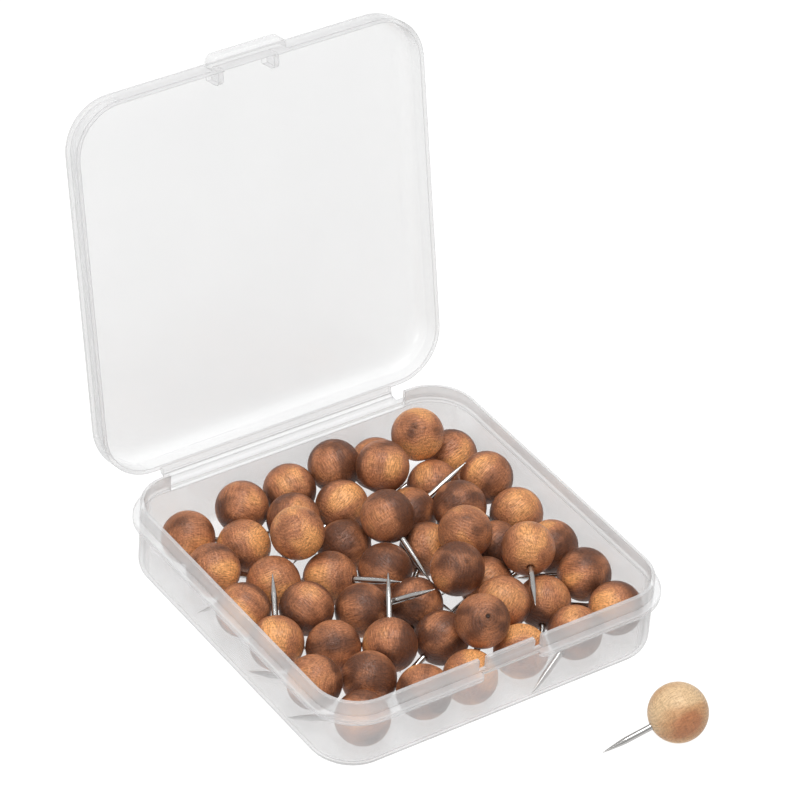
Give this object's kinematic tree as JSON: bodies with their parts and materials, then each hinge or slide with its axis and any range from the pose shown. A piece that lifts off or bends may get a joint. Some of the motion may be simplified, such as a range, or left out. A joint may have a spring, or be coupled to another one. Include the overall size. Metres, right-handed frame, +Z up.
{
  "type": "push pin set in a hinged case",
  "caption": "Frosted clear hinged case, open and filled with wooden ball-head push pins, one pin lying in front. The lid turns on a living hinge; the upper pins lift out.",
  "frame": {"origin": "middle of the case's underside, on the table", "axes": "+X along the hinge, -Y towards the latch and the pin in front, +Z up"},
  "size_m": [0.073, 0.1182, 0.0875],
  "materials": {
    "case_plastic": "frosted translucent polypropylene",
    "stained_wood": "brown stain, satin",
    "pale_wood": "light stain, satin",
    "needle_steel": "polished steel"
  },
  "bodies": {
    "base": {"case_base": "case_plastic", "hinge_web": "case_plastic", "row_1_heads": "stained_wood", "row_1_needles": "needle_steel", "row_2_heads": "stained_wood", "row_2_needles": "needle_steel", "row_3_heads": "stained_wood", "row_3_needles": "needle_steel", "row_4_heads": "stained_wood", "row_4_needles": "needle_steel", "row_5_heads": "stained_wood", "row_5_needles": "needle_steel", "row_6_heads": "stained_wood", "row_6_needles": "needle_steel"},
    "lid": {"case_lid": "case_plastic"},
    "upper_pin_1": {"upper_pin_1_head": "stained_wood", "upper_pin_1_needle": "needle_steel"},
    "upper_pin_2": {"upper_pin_2_head": "stained_wood", "upper_pin_2_needle": "needle_steel"},
    "upper_pin_3": {"upper_pin_3_head": "stained_wood", "upper_pin_3_needle": "needle_steel"},
    "upper_pin_4": {"upper_pin_4_head": "stained_wood", "upper_pin_4_needle": "needle_steel"},
    "upper_pin_5": {"upper_pin_5_head": "stained_wood", "upper_pin_5_needle": "needle_steel"},
    "upper_pin_6": {"upper_pin_6_head": "stained_wood", "upper_pin_6_needle": "needle_steel"},
    "front_pin": {"front_pin_head": "pale_wood", "front_pin_needle": "needle_steel"}
  },
  "joints": [
    {"name": "lid_hinge", "type": "hinge", "parent": "base", "child": "lid", "pos_m": [0, 0.0379, 0.01276], "axis": [-1, 0, 0], "range_deg": [-102, 78], "deforming": ["hinge_web"]},
    {"name": "upper_pin_1_lift", "type": "slide", "parent": "base", "child": "upper_pin_1", "axis": [0, 0, 1], "range_m": [0, 0.026]},
    {"name": "upper_pin_2_lift", "type": "slide", "parent": "base", "child": "upper_pin_2", "axis": [0, 0, 1], "range_m": [0, 0.026]},
    {"name": "upper_pin_3_lift", "type": "slide", "parent": "base", "child": "upper_pin_3", "axis": [0, 0, 1], "range_m": [0, 0.026]},
    {"name": "upper_pin_4_lift", "type": "slide", "parent": "base", "child": "upper_pin_4", "axis": [0, 0, 1], "range_m": [0, 0.026]},
    {"name": "upper_pin_5_lift", "type": "slide", "parent": "base", "child": "upper_pin_5", "axis": [0, 0, 1], "range_m": [0, 0.026]},
    {"name": "upper_pin_6_lift", "type": "slide", "parent": "base", "child": "upper_pin_6", "axis": [0, 0, 1], "range_m": [0, 0.026]},
    {"name": "front_pin_lift", "type": "slide", "parent": "base", "child": "front_pin", "axis": [0, 0, 1], "range_m": [0, 0.026]}
  ]
}
